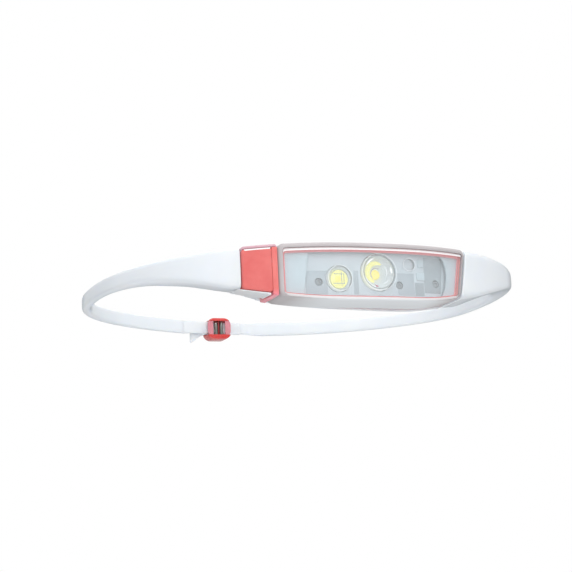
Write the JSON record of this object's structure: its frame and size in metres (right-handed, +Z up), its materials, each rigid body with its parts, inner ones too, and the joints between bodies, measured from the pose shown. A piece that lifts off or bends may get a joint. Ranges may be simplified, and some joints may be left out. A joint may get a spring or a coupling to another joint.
{
  "type": "headlamp",
  "caption": "Rechargeable headlamp with a one-piece translucent silicone band, a slim curved light unit with a side button, and a small strap buckle.",
  "frame": {"origin": "centre of the bounding box at its bottom, under the middle of the ring", "axes": "-Y forwards out of the light unit, +Z up, +X to the wearer's left"},
  "size_m": [0.1944, 0.176, 0.0235],
  "materials": {
    "clear_silicone": "milky, translucent, satin",
    "coral_silicone": "tinted, satin",
    "grey_tpu": "translucent grey, satin",
    "coral_polycarbonate": "tinted, translucent, gloss",
    "clear_polycarbonate": "clear, polished",
    "pale_liner": "matt",
    "silver_panel": "silver paint, satin",
    "circuit_board": "solder mask",
    "led_phosphor": "matt",
    "stainless_steel": "ground",
    "battery_foil": "laminated foil",
    "foam": "open cell",
    "black_nylon": "matt",
    "red_wire": "insulation",
    "black_wire": "insulation"
  },
  "bodies": {
    "band": {"head_band": "clear_silicone"},
    "light_unit": {"case_sleeve": "grey_tpu", "case_shell": "coral_polycarbonate", "window_lens": "clear_polycarbonate", "window_seal": "coral_silicone", "light_liner": "pale_liner", "reflector_panel": "silver_panel", "circuit_board": "circuit_board", "panel_screw_1": "stainless_steel", "panel_screw_2": "stainless_steel", "panel_screw_3": "stainless_steel", "spot_led": "led_phosphor", "spot_lens": "clear_polycarbonate", "flood_led": "led_phosphor", "flood_lens": "clear_polycarbonate", "red_led": "clear_polycarbonate", "side_led": "pale_liner", "battery_cell": "battery_foil", "battery_pad": "foam", "switch_base": "black_nylon", "charge_socket": "stainless_steel", "socket_tongue": "black_nylon", "lead_positive": "red_wire", "lead_negative": "black_wire"},
    "button": {"power_button": "coral_polycarbonate"},
    "stem": {"switch_stem": "black_nylon"},
    "buckle": {"buckle_frame": "coral_polycarbonate", "buckle_pin_1": "stainless_steel", "buckle_pin_2": "stainless_steel"}
  },
  "joints": [
    {"name": "unit_slide", "type": "slide", "parent": "band", "child": "light_unit", "axis": [0, -1, 0], "range_m": [0, 0.03]},
    {"name": "button_press", "type": "slide", "parent": "light_unit", "child": "button", "axis": [0, 1, 0], "range_m": [0, 0.0007], "stiffness_N_per_m": 600},
    {"name": "stem_press", "type": "slide", "parent": "light_unit", "child": "stem", "axis": [0, 1, 0], "range_m": [0, 0.0007]},
    {"name": "buckle_slide", "type": "slide", "parent": "band", "child": "buckle", "axis": [0.9975, 0.0704, 0], "range_m": [0, 0.0025]}
  ],
  "couplings": [
    {"joint": "stem_press", "follows": "button_press", "ratio": 1}
  ]
}
